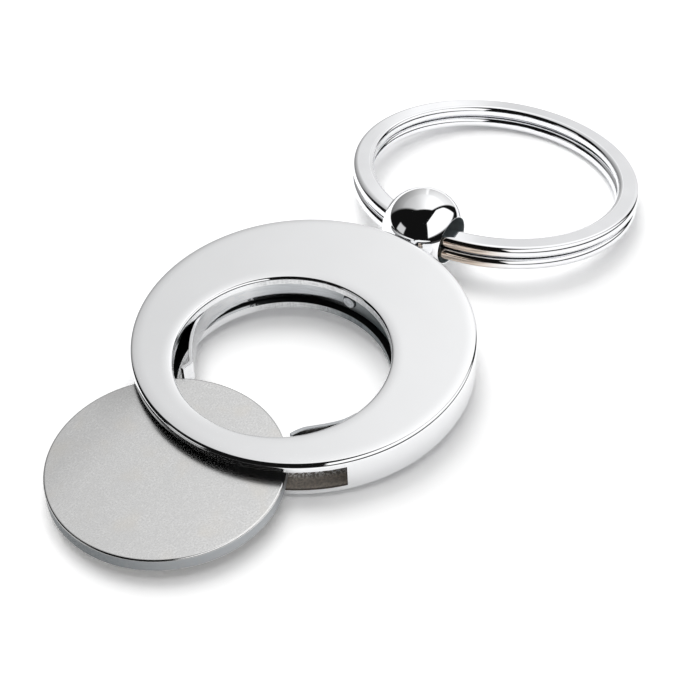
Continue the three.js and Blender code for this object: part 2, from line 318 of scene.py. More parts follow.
def grid(points, closed_rows, place, name, lengths=None):
    """A mesh on a grid of points whose columns close on themselves. The rows close too, or each
    end row is filled with one flat face. Point (i, j) joins (i + 1, j), (i + 1, j + 1) and
    (i, j + 1). The map Along holds lengths[0][i] and lengths[1][j] in metres where they are given."""
    rows, columns = points.shape[:2]
    i = np.arange(rows if closed_rows else rows - 1)[:, None]
    j = np.arange(columns)[None, :]
    i2, j2 = (i + 1) % rows, (j + 1) % columns
    corners = (i * columns + j, i2 * columns + j, i2 * columns + j2, i * columns + j2)
    quads = np.stack(np.broadcast_arrays(*corners), 2).reshape(-1, 4)
    first = np.arange(columns)[None, :]
    ends = [] if closed_rows else [first, (rows - 1) * columns + first[:, ::-1]]
    flat = points.reshape(-1, 3)
    a, b, c, d = (flat[quads[:, k]] for k in range(4))
    volume = np.einsum("ij,ij->", a, np.cross(b, c)) + np.einsum("ij,ij->", a, np.cross(c, d))
    faces = [quads, *ends]
    if volume < 0:
        faces = [block[:, ::-1] for block in faces]
    mesh = bpy.data.meshes.new(name)
    mesh.from_pydata(flat.tolist(), [], [row for block in faces for row in block.tolist()])
    if lengths is not None:
        u = np.append(lengths[0], lengths[0][-1])[np.stack(np.broadcast_arrays(i, i + 1, i + 1, i), 2)]
        v = np.append(lengths[1], lengths[1][-1])[np.stack(np.broadcast_arrays(j, j, j + 1, j + 1), 2)]
        uv = np.stack(np.broadcast_arrays(u, v), 3).reshape(-1, 4, 2)
        if volume < 0:
            uv = uv[:, ::-1]
        spread = np.zeros((len(mesh.loops), 2))
        spread[: uv.size // 2] = uv.reshape(-1, 2)
        spread[uv.size // 2 :] = (lengths[0][0], 0)
        mesh.uv_layers.new(name="Along").data.foreach_set("uv", (spread * MM).ravel())
    mesh.transform(place)
    return finished(bpy.data.objects.new(name, mesh))


def finished(piece, sharp_deg=32):
    """Links a piece and shades it smooth, but for a sharp edge where its faces turn by more."""
    mesh = piece.data
    mesh.polygons.foreach_set("use_smooth", np.ones(len(mesh.polygons), bool))
    mesh.set_sharp_from_angle(angle=math.radians(sharp_deg))
    mesh.update()
    if piece.name not in bpy.context.scene.collection.objects:
        bpy.context.scene.collection.objects.link(piece)
    return piece


def cut(piece, *tools):
    """Takes each tool's solid away from the piece, and removes the tools."""
    for tool in tools:
        carve = piece.modifiers.new(tool.name, "BOOLEAN")
        carve.operation = "DIFFERENCE"
        carve.solver = "EXACT"
        carve.material_mode = "TRANSFER"
        carve.object = tool
    bpy.context.view_layer.update()
    graph = bpy.context.evaluated_depsgraph_get()
    mesh = bpy.data.meshes.new_from_object(piece.evaluated_get(graph))
    piece.modifiers.clear()
    piece.data = mesh
    for tool in tools:
        bpy.data.objects.remove(tool)
    return finished(piece)


def rod(radii_and_ends, place, name, count=SMALL_TURN):
    """A closed cutting tool turned about +Z: rows of (radius, height)."""
    return grid(circles(centred(np.array(radii_and_ends)), count), False, place, name)


def along_x():
    """Matrix that lays a tool's +Z along +X."""
    return Matrix.Rotation(math.radians(90), 4, "Y")


# Finishes


class Reading:
    """One number in a shader. Arithmetic on it adds the Math nodes that work it out."""

    def __init__(self, finish, socket):
        self.finish = finish
        self.socket = socket

    def maths(self, operation, *others):
        return self.finish.add("ShaderNodeMath", {"operation": operation}, self, *others)

    def __add__(self, other):
        return self.maths("ADD", other)

    __radd__ = __add__

    def __sub__(self, other):
        return self.maths("SUBTRACT", other)

    def __rsub__(self, other):
        return self.finish.add("ShaderNodeMath", {"operation": "SUBTRACT"}, other, self)

    def __mul__(self, other):
        return self.maths("MULTIPLY", other)

    __rmul__ = __mul__

    def __truediv__(self, other):
        return self.maths("DIVIDE", other)

    def __rtruediv__(self, other):
        return self.finish.add("ShaderNodeMath", {"operation": "DIVIDE"}, other, self)

    def ramp(self, low, high, start=0.0, end=1.0):
        """Eases from start to end as the number goes from low to high."""
        smooth = {"interpolation_type": "SMOOTHSTEP"}
        return self.finish.add("ShaderNodeMapRange", smooth, self, low, high, start, end, output="Result")

    def window(self, low, high, soft):
        """1 between low and high and 0 outside, with edges that are soft wide."""
        return self.ramp(low - soft, low + soft) * self.ramp(high - soft, high + soft, 1.0, 0.0)


class Finish:
    """A node tree being filled: a material's, or the world's."""

    def __init__(self, tree):
        self.tree = tree
        tree.nodes.clear()

    def add(self, kind, settings=None, *values, output=0, **named):
        """Adds a node, sets its settings, then its sockets: values in order, or by name."""
        node = self.tree.nodes.new(kind)
        for key, value in (settings or {}).items():
            setattr(node, key, value)
        sockets = [s for s in node.inputs if s.enabled]
        by_name = [(node.inputs[key.replace("_", " ")], value) for key, value in named.items()]
        for socket, value in [*zip(sockets, values), *by_name]:
            if isinstance(value, Reading):
                self.tree.links.new(value.socket, socket)
            elif value is not None:
                socket.default_value = value
        if output is None:
            return node
        live = node.outputs if isinstance(output, str) else [s for s in node.outputs if s.enabled]
        return Reading(self, live[output])

    def vector(self, operation, *values):
        """A Vector Math node."""
        return self.add("ShaderNodeVectorMath", {"operation": operation}, *values)

    def place(self):
        """Object coordinates, in metres."""
        return self.add("ShaderNodeTexCoord", output="Object")

    def own(self, place):
        """Three readings in millimetres on a piece's own axes, given the matrix of its place."""
        origin = tuple(place.translation)
        moved = self.vector("SUBTRACT", self.place(), origin)
        axes = [tuple(place.col[k].xyz.normalized() / MM) for k in range(3)]
        return [self.vector("DOT_PRODUCT", moved, axis) for axis in axes]

    def along(self):
        """The Along map: metres along the wire or strip, and metres round its section."""
        return self.add("ShaderNodeUVMap", {"uv_map": "Along"})

    def split(self, vector):
        node = self.add("ShaderNodeSeparateXYZ", None, vector, output=None)
        return [Reading(self, node.outputs[axis]) for axis in "XYZ"]

    def join(self, *values):
        return self.add("ShaderNodeCombineXYZ", None, *values)

    def scaled(self, vector, scale):
        """The vector with each axis multiplied by its own number."""
        return self.add("ShaderNodeMapping", None, vector, Scale=scale)

    def grain(self, vector, per_metre, detail=2.0, rough=0.5):
        """Soft noise from 0 to 1, with per_metre cells to the metre."""
        return self.add("ShaderNodeTexNoise", None, vector, Scale=per_metre, Detail=detail, Roughness=rough)

    def mixed(self, factor, first, second):
        """A colour that goes from first to second."""
        node = self.add("ShaderNodeMix", {"data_type": "RGBA"}, output=None)
        colours = [s for s in node.inputs if s.type == "RGBA"]
        for socket, value in ((node.inputs[0], factor), (colours[0], first), (colours[1], second)):
            if isinstance(value, Reading):
                self.tree.links.new(value.socket, socket)
            else:
                socket.default_value = value if isinstance(value, (int, float)) else (*value[:3], 1)
        return Reading(self, next(s for s in node.outputs if s.type == "RGBA"))

    def bumps(self, height, depth):
        """A normal that is bent by a height from 0 to 1 over a depth in metres."""
        return self.add("ShaderNodeBump", None, Strength=1.0, Distance=depth, Height=height, output="Normal")

    def surface(self, **sockets):
        """The Principled shader and the output, which ends a material."""
        shader = self.add("ShaderNodeBsdfPrincipled", None, output="BSDF", **sockets)
        self.add("ShaderNodeOutputMaterial", None, shader, output=None)


def span(a, b):
    """How far the point (a, b) lies from the origin."""
    return (a * a + b * b).maths("SQRT")


def bearing(a, b):
    """The angle of the point (a, b) from the first axis, in degrees."""
    return b.maths("ARCTAN2", a) * math.degrees(1)


def material(name):
    """A new material and the tree that fills it."""
    made = bpy.data.materials.new(name)
    made.use_nodes = True
    return made, Finish(made.node_tree)


def scaled_colour(value, share):
    """A colour with each channel multiplied by a share."""
    return tuple(channel * share for channel in value)


# Colours with painted light and shade in them. The slate ones are painted shade and dark
# reflection on the hole's wall, the strip, the ball's bore and the token's wall. Paler ones
# mark scratches and lines on the wall and the strip, and the token wall's less shaded side. The
# near black ones are painted shade at the slot's mouth, round the pocket, on the slot's
# ceiling and round the rivet. The light strip colour is painted light. The speckle is the cast
# metal's own, and the patch is plain bright plate.
WALL_PAINTED_SHADE = (0.1, 0.122, 0.13)
WALL_PAINTED_SHADE_SCRATCHED = (0.24, 0.27, 0.28)
BORE_PAINTED_SHADE = (0.2, 0.23, 0.24)
STRIP_PAINTED_SHADE = (0.08, 0.1, 0.105)
STRIP_PAINTED_SHADE_LINED = (0.17, 0.2, 0.21)
STRIP_PAINTED_LIGHT = (0.8, 0.805, 0.815)
TOKEN_WALL_PAINTED_SHADE = (0.11, 0.128, 0.14)
TOKEN_WALL_PAINTED_LESS_SHADE = (0.45, 0.47, 0.49)
SPECKLE = (0.95, 0.95, 0.96)
PLATE_PATCH = (0.8, 0.81, 0.82)
SLOT_MOUTH_PAINTED_SHADE = (0.03, 0.02, 0.012)
POCKET_PAINTED_SHADE = (0.01, 0.011, 0.012)
RIVET_PAINTED_SHADE = (0.01, 0.01, 0.01)


def casing_plate(plate, place, half, hole, shift):
    """Bright chrome plate. Its flat faces carry a faint polishing haze. The wall of the hole, which
    a wheel can't reach, is more scratched and is painted with shade and dark reflection: slate grey
    over one side, most on its lower half, then darker plate, with plain plate only on a lit stretch.
    The slate side is also rougher and less shiny: turn is the angle round the hole in degrees, from the
    ball."""
    made, f = material("casing_plate")
    x, y, z = f.own(place)
    flat = z.maths("ABSOLUTE").ramp(half - 0.1, half - 0.02)
    wall = span(x - shift, y).ramp(hole + 0.004, hole + 0.03, 1.0, 0.0)
    turn = bearing(x - shift, y)
    # The mask away marks painted shade and dark reflection on one side of the hole's wall, more of it on the
    # lower half.
    below = z.ramp(-0.2, 0.2, 1.0, 0.0)
    high, low = turn.ramp(-48.0, 5.0, 0.7, 0.0), turn.ramp(-12.0, 36.0, 1.0, 0.0)
    away = f.add("ShaderNodeMix", None, below, high, low)
    # The lit side keeps plain plate. Short of it, the wall is painted darker as shade.
    lit_side = turn.ramp(44.0, 62.0)
    at = f.place()
    haze = f.grain(at, 180.0, 3.0)
    hair = f.grain(f.scaled(at, (0.12, 1.0, 0.4)), 5200.0, 2.0, 0.6).ramp(0.68, 0.74)
    upright = f.grain(f.scaled(at, (1.0, 1.0, 0.25)), 3600.0, 3.0, 0.6)
    round_wall = turn * (0.1 * hole * MM * math.radians(1))
    level = f.grain(f.join(round_wall, z * MM, 0.0), 9000.0, 3.0, 0.6)
    smear = upright * 0.4 + level * 0.6
    ripple = f.grain(at, 420.0, 1.0)
    tint = f.mixed(haze.ramp(0.3, 0.75), scaled_colour(plate, 0.985), plate)
    tint = f.mixed(hair * 0.3, tint, scaled_colour(plate, 0.94))
    # Painted shade and dark reflection: slate on one side, darker plate up to the lit side, paler where the
    # smear grain shows scratches.
    painted_shade_wall = f.mixed(away, f.mixed(lit_side, scaled_colour(plate, 0.62), plate), WALL_PAINTED_SHADE)
    pale = f.mixed(away, f.mixed(lit_side, scaled_colour(plate, 0.82), plate), WALL_PAINTED_SHADE_SCRATCHED)
    painted_light_and_shade = f.mixed(smear.ramp(0.4, 0.6), painted_shade_wall, pale)
    f.surface(
        Base_Color=f.mixed(wall, tint, painted_light_and_shade),
        Metallic=1.0 - flat * 0.18 - wall * away * 0.7,
        Roughness=0.035 + haze * 0.03 + hair * 0.04 + wall * (0.05 + smear * 0.1 + away * 0.25),
        Normal=f.bumps(ripple + hair * 0.02 + wall * smear * 2.0, 0.0000025),
    )
    return made


def ball_plate(plate, place, bore):
    """Bright chrome plate over a turned ball, with faint haze and a few hairlines. The bore across
    it is painted slate grey as shade inside it, and is rougher and less shiny."""
    made, f = material("ball_plate")
    x, _, z = f.own(place)
    # The bore is painted slate grey as shade inside it.
    inside = span(x, z).ramp(bore + 0.02, bore + 0.09, 1.0, 0.0)
    at = f.place()
    haze = f.grain(at, 260.0, 3.0)
    hair = f.grain(f.scaled(at, (1.0, 0.15, 1.0)), 5200.0, 2.0, 0.6).ramp(0.68, 0.75)
    ripple = f.grain(at, 520.0, 1.0)
    tint = f.mixed(haze.ramp(0.3, 0.75), scaled_colour(plate, 0.97), plate)
    tint = f.mixed(hair * 0.3, tint, scaled_colour(plate, 0.9))
    f.surface(
        Base_Color=f.mixed(inside, tint, BORE_PAINTED_SHADE),
        Metallic=1.0 - inside * 0.7,
        Roughness=0.025 + haze * 0.03 + hair * 0.05 + inside * 0.45,
        Normal=f.bumps(ripple + hair * 0.02, 0.000002),
    )
    return made


def bare_cast(bare, place, rim, hole, shift):
    """Unplated cast metal: brown-grey and rough, with shade painted at the very mouth of the slot and
    bright speckles past it. Round the clip spring and on the slot's ceiling, shade is painted near
    black, apart from a ragged patch of bright plate on one side: turn is the angle round the hole
    in degrees, from the ball."""
    made, f = material("bare_cast")
    x, y, z = f.own(place)
    reach = span(x, y)
    deep = reach.ramp(rim - 2.1, rim - 1.3, 1.0, 0.0)
    # The pocket round the clip spring and the slot's ceiling get shade painted near black.
    inner = reach.ramp(rim - 4.2, rim - 3.2, 1.0, 0.0).maths("MAXIMUM", z.ramp(1.1, 1.3))
    at = f.place()
    speck = f.grain(at, 4200.0, 3.0, 0.6)
    cloud = f.grain(at, 1500.0, 2.0)
    turn = bearing(x - shift, y) + speck * 24.0
    # A ragged patch of bright plate on one side of the ledge, where no shade is painted.
    plated = turn.ramp(65.0, 68.0) * turn.ramp(104.0, 112.0, 1.0, 0.0)
    plated = plated * span(x - shift, y).ramp(hole + 0.34, hole + 0.42, 1.0, 0.0)
    tone = f.mixed(speck.ramp(0.36, 0.64), scaled_colour(bare, 0.8), scaled_colour(bare, 1.25))
    bright = f.mixed(speck.ramp(0.49, 0.54), scaled_colour(bare, 0.35), SPECKLE)
    tone = f.mixed(cloud.ramp(0.35, 0.7) * 0.4, tone, scaled_colour(bare, 0.9))
    tone = f.mixed(deep * 0.85, tone, bright)
    # Shade painted at the very mouth of the slot.
    tone = f.mixed(reach.ramp(rim - 0.28, rim - 0.16) * 0.75, tone, SLOT_MOUTH_PAINTED_SHADE)
    # Painted shade round the pocket and on the ceiling, except for the bright patch.
    pocket_shade = f.mixed(plated, POCKET_PAINTED_SHADE, PLATE_PATCH)
    f.surface(
        Base_Color=f.mixed(inner, tone, pocket_shade),
        Metallic=(0.2 + deep * 0.5).maths("MAXIMUM", plated * inner),
        Roughness=0.45 + cloud * 0.15 - deep * 0.1,
        Normal=f.bumps(speck, 0.00003),
    )
    return made


def rolled_strip(steel, place, shift, rivet):
    """Rolled spring strip: fine lines and faint waves along its length, painted shade and dark
    reflection in slate grey on one side, painted light on the other, and a narrow ring of painted
    shade round the riveted pin: turn is the angle round the hole in degrees, from the ball."""
    made, f = material("rolled_strip")
    x, y, z = f.own(place)
    turn = bearing(x - shift, y)
    # Painted shade and dark reflection in slate grey on one side of the strip.
    away = turn.ramp(-28.0, 22.0, 1.0, 0.0) * turn.ramp(-90.0, -70.0)
    # Painted light on the other side.
    lit_side = turn.ramp(38.0, 62.0)
    along = f.along()
    lines = f.grain(f.scaled(along, (0.04, 1.0, 1.0)), 9000.0, 3.0, 0.6)
    waves = f.grain(f.scaled(along, (0.25, 1.0, 1.0)), 2200.0, 2.0)
    haze = f.grain(f.place(), 700.0, 2.0)
    from_pin = span(y, z) + haze * 0.1
    # A narrow ring of painted shade round the riveted pin.
    rivet_shade_ring = from_pin.window(rivet, rivet + 0.17, 0.03) * x.ramp(0.0, 1.0)
    tint = f.mixed(lines.ramp(0.3, 0.75), scaled_colour(steel, 0.82), steel)
    tint = f.mixed(lit_side, tint, STRIP_PAINTED_LIGHT)
    slate = f.mixed(lines.ramp(0.35, 0.65), STRIP_PAINTED_SHADE, STRIP_PAINTED_SHADE_LINED)
    tint = f.mixed(waves.ramp(0.4, 0.7) * 0.35, tint, scaled_colour(steel, 0.75))
    f.surface(
        Base_Color=f.mixed(rivet_shade_ring, f.mixed(away, tint, slate), RIVET_PAINTED_SHADE),
        Metallic=1.0 - away * 0.7,
        Roughness=0.06 + lines * 0.06 + haze * 0.05 + away * 0.4 + rivet_shade_ring * 0.4,
        Normal=f.bumps(lines + waves, 0.0000035),
    )
    return made


def turned_pin(pin, centre):
    """A turned pin: rings of fine tool marks about its axis."""
    made, f = material("turned_pin")
    place = f.vector("SUBTRACT", f.place(), tuple(centre))
    x, y, z = f.split(place)
    rings = f.grain(f.join(span(y, z), x * 0.3, 0.0), 14000.0, 2.0)
    smut = f.grain(place, 2200.0, 2.0)
    f.surface(
        Base_Color=f.mixed(smut.ramp(0.35, 0.7), scaled_colour(pin, 0.72), pin),
        Metallic=1.0,
        Roughness=0.2 + rings * 0.12,
        Normal=f.bumps(rings, 0.000004),
    )
    return made


def satin_face(satin, place, radius, half):
    """A blasted token: very fine grain and faint warm and cool clouds. Painted shade darkens one side
    of the face, deepest near the casing. A painted highlight lies on one end of its edge, with a painted
    dark line round the rest, and its wall carries painted shade, lighter towards one side."""
    made, f = material("satin_face")
    x, y, z = f.own(place)
    reach = span(x, y)
    at = f.join(x * MM, y * MM, z * MM)
    fine = f.grain(at, 5200.0, 3.0, 0.7)
    mid = f.grain(at, 1900.0, 2.0)
    cloud = f.grain(at, 230.0, 2.0)
    warm = f.grain(f.add("ShaderNodeMapping", None, at, Location=(0.3, 0.1, 0.2)), 300.0, 2.0)
    edge = reach.ramp(radius - 0.26, radius - 0.12) * z.maths("ABSOLUTE").ramp(half - 0.22, half - 0.1)
    wall = z.maths("ABSOLUTE").ramp(half - 0.2, half - 0.1, 1.0, 0.0)
    tone = f.mixed(fine.ramp(0.25, 0.75), scaled_colour(satin, 0.83), scaled_colour(satin, 1.13))
    tone = f.mixed(mid.ramp(0.3, 0.75) * 0.6, tone, scaled_colour(satin, 0.9))
    tone = f.mixed(warm.ramp(0.52, 0.74) * 0.4, tone, (satin[0], satin[1] * 0.955, satin[2] * 0.88))
    tone = f.mixed(cloud.ramp(0.3, 0.8) * 0.3, tone, scaled_colour(satin, 0.9))
    # Painted shade on one side of the face, deepest near the casing.
    shade = y.ramp(4.0, 9.0) * 0.12 + x.ramp(-1.0, 7.0) * y.ramp(6.0, 10.0) * 0.2
    tone = f.mixed(shade, tone, scaled_colour(satin, 0.05))
    # Painted shade on the token's wall, lighter towards one side.
    painted_wall_shade = f.mixed(y.ramp(-12.5, 1.0), TOKEN_WALL_PAINTED_LESS_SHADE, TOKEN_WALL_PAINTED_SHADE)
    painted_wall_shade = f.mixed(fine.ramp(0.3, 0.7) * 0.3, painted_wall_shade, scaled_colour(satin, 0.5))
    tone = f.mixed(wall * 0.95, tone, painted_wall_shade)
    # A painted highlight on one end of the edge and a painted dark line round the rest.
    painted_light_and_shade = f.mixed(y.ramp(-11.0, -4.0), scaled_colour(satin, 1.15), scaled_colour(satin, 0.35))
    f.surface(
        Base_Color=f.mixed(edge * 0.6, tone, painted_light_and_shade),
        Metallic=1.0,
        Roughness=0.22 + fine * 0.03 - edge * 0.06 + wall * 0.28,
        Normal=f.bumps(fine, 0.0000015),
    )
    return made


def drawn_wire(plate, warm, place, radius, ball_near):
    """Plated ring wire: drawing lines along it, and a warm stain on its outside where it enters the
    ball."""
    made, f = material("drawn_wire")
    x, y, _ = f.own(place)
    reach = span(x, y)
    off = f.vector("DISTANCE", f.place(), ball_near)
    outer = reach.ramp(radius + 0.9, radius + 1.1) * y.ramp(-0.5, 0.5, 1.0, 0.0)
    stain = off.ramp(0.007, 0.0115, 1.0, 0.0) * outer
    lines = f.grain(f.scaled(f.along(), (0.03, 1.0, 1.0)), 5000.0, 2.0, 0.55)
    haze = f.grain(f.place(), 260.0, 2.0)
    tint = f.mixed(haze.ramp(0.3, 0.75), scaled_colour(plate, 0.96), plate)
    f.surface(
        Base_Color=f.mixed(stain * (0.6 + haze * 0.5), tint, warm),
        Metallic=1.0,
        Roughness=0.035 + haze * 0.03 + lines.ramp(0.6, 0.72) * 0.03,
        Normal=f.bumps(haze + lines * 0.05, 0.000002),
    )
    return made


def dress(piece, body, node, slot, *materials):
    """Gives a piece its materials and the body it rides on, and hides the node it stands for. The slot is
    not used.
    """
    for made in materials:
        piece.data.materials.append(made)
    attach(piece, body)
    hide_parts(node)
    return piece


# How far a cutting tool runs past what it cuts, in millimetres.
PAST = 2

# Pieces


class KEYCHAIN_OT_casing(Operator):
    """Build the casing: a flat puck with an off-centre hole, a slot and a pocket"""

    bl_idname = "keychain.casing"
    bl_label = "Casing"

    def execute(self, context):
        scene = context.scene
        size, pin, rows = scene.keychain_casing, scene.keychain_pin, scene.keychain_stage.rows
        half, shift = size.thickness / 2 / MM, -size.hole_shift / MM
        rim, hole = size.radius / MM, size.hole_radius / MM
        edge, hole_edge = size.edge / MM, size.hole_edge / MM
        soft, tilt = size.soft / MM, size.tilt
        lip = rolled_edge(-hole, half, hole_edge, soft, tilt) * (-1, 1)
        brim = rolled_edge(rim, half, edge, soft, tilt)
        foot = rolled_edge(-hole, half, size.foot_edge / MM, soft, tilt) * (-1, 1)
        below = (1, -1)
        profile = np.vstack(
            (
                centred(lip[::-1], shift),
                centred(brim),
                centred((brim * below)[::-1]),
                centred(foot * below, shift),
            )
        )
        piece = grid(circles(profile, rows), True, Matrix(), "polished_casing")
        slot, pocket = size.slot_height / 2 / MM, size.pocket_radius / MM
        shift_place = Matrix.Translation((shift, 0, 0))
        # Two divisions fewer than the hole has, so that no edge of the one lies on one of the other.
        tools = [rod([(pocket, -slot), (pocket, slot)], shift_place, "pocket_tool", rows - 2)]
        side, past = size.slot_half_width / MM, rim + PAST
        mouth = np.array([[(shift, -side), (shift, side), (-past, side), (-past, -side)]] * 2)
        heights = np.broadcast_to(np.array((-slot, slot))[:, None, None], (2, 4, 1))
        tools.append(grid(np.concatenate((mouth, heights), 2), False, Matrix(), "slot_tool"))
        pin_hole = (pin.shank + pin.clearance) / MM
        tools.append(rod([(pin_hole, 0), (pin_hole, past)], along_x(), "pin_tool"))
        place = casing_frame(scene)
        plate = casing_plate(size.plate, place, half, hole, shift)
        bare = bare_cast(size.bare, place, rim, hole, shift)
        piece.data.materials.append(plate)
        for tool in tools:
            tool.data.materials.append(bare)
        cut(piece, *tools)
        piece.data.transform(place)
        dress(piece, "casing_body", "casing", "polished_casing")
        return {"FINISHED"}


class KEYCHAIN_OT_clip(Operator):
    """Build the clip spring and the pin that is riveted through it"""

    bl_idname = "keychain.clip"
    bl_label = "Clip spring and pin"

    # Degrees of the arc that each arm's smooth curve takes in, and how many points the rest of the
    # arc and each stretch of an arm have.
    ROOT = 4
    ARC_POINTS = 141
    STRETCH_POINTS = 14

    # Degrees round the hole, and shares of the hole's radius, from the pocket's wall to each tip.
    LEFT_ARM = (
        (68, 1.072), (76, 1.052), (84, 1.024), (91, 0.991), (98, 0.955), (105, 0.92),
        (113, 0.885), (120, 0.861), (124, 0.848), (126.3, 0.855), (128.6, 0.891), (130.8, 0.926),
    )
    RIGHT_ARM = (
        (-68, 1.072), (-76, 1.048), (-84, 1.02), (-92, 0.991), (-100, 0.966), (-108, 0.943),
        (-116, 0.908), (-124, 0.878), (-130, 0.869), (-134.5, 0.885), (-138.2, 0.913),
    )

    def execute(self, context):
        scene = context.scene
        casing, strip, pin = scene.keychain_casing, scene.keychain_spring, scene.keychain_pin
        hole, shift = casing.hole_radius / MM, -casing.hole_shift / MM
        path = self.centre_line(hole, shift, strip)
        ahead = np.gradient(path, axis=0)
        ahead /= np.linalg.norm(ahead, axis=1)[:, None]
        across = np.stack((-ahead[:, 1], ahead[:, 0]), 1)
        outline = rounded_box(strip.thickness / MM, strip.height / MM, strip.edge / MM, steps=5)
        round_it = around(np.vstack((outline, outline[:1])))
        place = casing_frame(scene)
        piece = grid(carried(path, across, outline), False, place, "clip_strip", (around(path), round_it))
        finish = rolled_strip(strip.steel, place, shift, pin.rivet / MM)
        dress(piece, "casing_body", "clip_spring", "spring_steel", finish)
        strip_face = shift + hole + strip.recess / MM
        pocket_wall = shift + casing.pocket_radius / MM
        bore_wall = (casing.ball_reach - scene.keychain_ball.bore) / MM
        self.pin(pin, place, strip_face, pocket_wall, bore_wall)
        return {"FINISHED"}

    def centre_line(self, hole, shift, strip):
        """The strip's centre line from tip to tip: an arc along the pocket's wall, and from each of its
        ends a smooth curve through points given as degrees round the hole and a share of the hole's
        radius."""
        wall = hole + (strip.recess + strip.thickness / 2) / MM
        turn = math.degrees(strip.half_turn)

        def spot(deg, radius):
            deg = np.radians(deg)
            return np.stack((shift + radius * np.cos(deg), radius * np.sin(deg)), -1)

        def arm(shares, sign):
            table = np.array(shares)
            root = spot(sign * np.array((turn - self.ROOT, turn)), wall)
            points = np.vstack((root, spot(table[:, 0], table[:, 1] * hole)))
            return smooth_through(points, self.STRETCH_POINTS)

        arc = turn - self.ROOT
        middle = spot(np.linspace(-arc, arc, self.ARC_POINTS)[1:-1], wall)
        return np.vstack((arm(self.RIGHT_ARM, -1)[::-1], middle, arm(self.LEFT_ARM, 1)))

    def pin(self, size, place, strip_face, pocket_wall, bore_wall):
        """The pin: rows of (radius, distance along X), from the riveted end to the head in the bore.
        The head has a shallow dimple."""
        shank, tail, rivet, head = (r / MM for r in (size.shank, size.tail, size.rivet, size.head))
        under = strip_face - size.rivet_gap / MM
        shoulder = pocket_wall + size.clearance / MM
        top = bore_wall - size.head_depth / MM
        face, back = under - size.rivet_thickness / MM, top - size.head_thickness / MM
        edge = size.edge / MM
        core, dimple_rim, dimple_floor, dimple_depth = 0.3, 1.1, 1.0, 0.05
        low = top - dimple_depth
        rows = np.vstack(
            (
                (core, face),
                corner(rivet, face, edge, -90, hold=HOLD / 2, steps=6),
                ((rivet, under), (tail, under), (tail, shoulder)),
                ((shank, shoulder), (shank, back), (head, back)),
                corner(head, top, edge, 0, hold=HOLD / 2, steps=6),
                ((dimple_rim, top), (dimple_floor, low), (dimple_floor / 2, low)),
            )
        )
        points = circles(centred(rows), SMALL_TURN)
        piece = grid(points, False, place @ along_x(), "riveted_pin")
        dress(piece, "casing_body", "swivel_pin", "pin_steel", turned_pin(size.steel, BALL_PLACE))


def smooth_through(points, steps):
    """A curve through points: between two of them it is the cubic whose slope at each is half the
    step from the point before to the point after."""
    before = np.vstack((points[:1], points[:-1]))[:-1]
    here, there = points[:-1], points[1:]
    after = np.vstack((points[2:], points[-1:]))
    t = np.linspace(0, 1, steps, endpoint=False)[None, :, None]
    slope0, slope1 = (there - before)[:, None] / 2, (after - here)[:, None] / 2
    here, there = here[:, None], there[:, None]
    curve = (
        (2 * here - 2 * there + slope0 + slope1) * t**3
        + (3 * there - 3 * here - 2 * slope0 - slope1) * t**2
        + slope0 * t
        + here
    )
    return np.vstack((curve.reshape(-1, 2), points[-1:]))


class KEYCHAIN_OT_token(Operator):
    """Build the token: a plain disc with softly rounded edges"""

    bl_idname = "keychain.token"
    bl_label = "Token"

    def execute(self, context):
        scene = context.scene
        size = scene.keychain_token
        radius, half, edge = size.radius / MM, size.thickness / 2 / MM, size.edge / MM
        low, high = corner(radius, -half, edge, -90), corner(radius, half, edge, 0)
        inner = radius - 3 * edge
        rows = np.vstack(((inner, -half), low, high, (inner, half)))
        place = token_frame(scene)
        piece = grid(circles(centred(rows), scene.keychain_stage.rows), False, place, "satin_token")
        finish = satin_face(size.satin, place, radius, half)
        dress(piece, "token_body", "token", "satin_token", finish)
        return {"FINISHED"}


class KEYCHAIN_OT_ball(Operator):
    """Build the ball with the bore across it"""

    bl_idname = "keychain.ball"
    bl_label = "Ball"

    # Rows of each stretch of its outline, and divisions of a full turn.
    SHELL_ROWS = 150
    LIP_ROWS = 9
    WALL_ROWS = 12
    TURN = 300

    def execute(self, context):
        scene = context.scene
        size, pin = scene.keychain_ball, scene.keychain_pin
        radius, bore, lip = size.radius / MM, size.bore / MM, size.lip / MM
        mouth = math.sqrt(radius**2 - (bore + lip) ** 2)
        rise = math.asin(mouth / radius)
        outside = np.linspace(-rise, rise, self.SHELL_ROWS)
        shell = radius * np.stack((np.cos(outside), np.sin(outside)), 1)
        turn = np.radians(np.linspace(180, 90, self.LIP_ROWS))
        upper = np.stack((bore + lip + lip * np.cos(turn), mouth - lip + lip * np.sin(turn)), 1)
        wall = np.linspace(-(mouth - lip), mouth - lip, self.WALL_ROWS)[1:-1]
        inside = np.stack((np.full(len(wall), bore), wall), 1)
        rows = np.vstack((shell, upper[::-1][1:], inside[::-1], (upper * (1, -1))[:-1]))
        on_y = Matrix.Rotation(math.radians(-90), 4, "X")
        piece = grid(circles(centred(rows), self.TURN), True, on_y, "swivel_ball")
        # The bearing tool is wider than the ball and reaches past it.
        flat, far, wide = size.flat / MM, 9, 6
        seat = bore + (pin.head_depth + pin.head_thickness + pin.clearance) / MM
        shank, head = (pin.shank + pin.clearance) / MM, (pin.head + pin.clearance) / MM
        tools = (
            rod([(wide, -far), (wide, -flat)], along_x(), "bearing_tool"),
            rod([(shank, -far), (shank, -seat + HOLD / 2)], along_x(), "shank_tool"),
            rod([(head, -seat), (head, 0)], along_x(), "head_tool"),
        )
        place = ball_frame()
        plate = ball_plate(size.plate, place, bore)
        for solid in (piece, *tools):
            solid.data.materials.append(plate)
        cut(piece, *tools)
        piece.data.transform(place)
        dress(piece, "ball_body", "ball", "polished_ball")
        return {"FINISHED"}


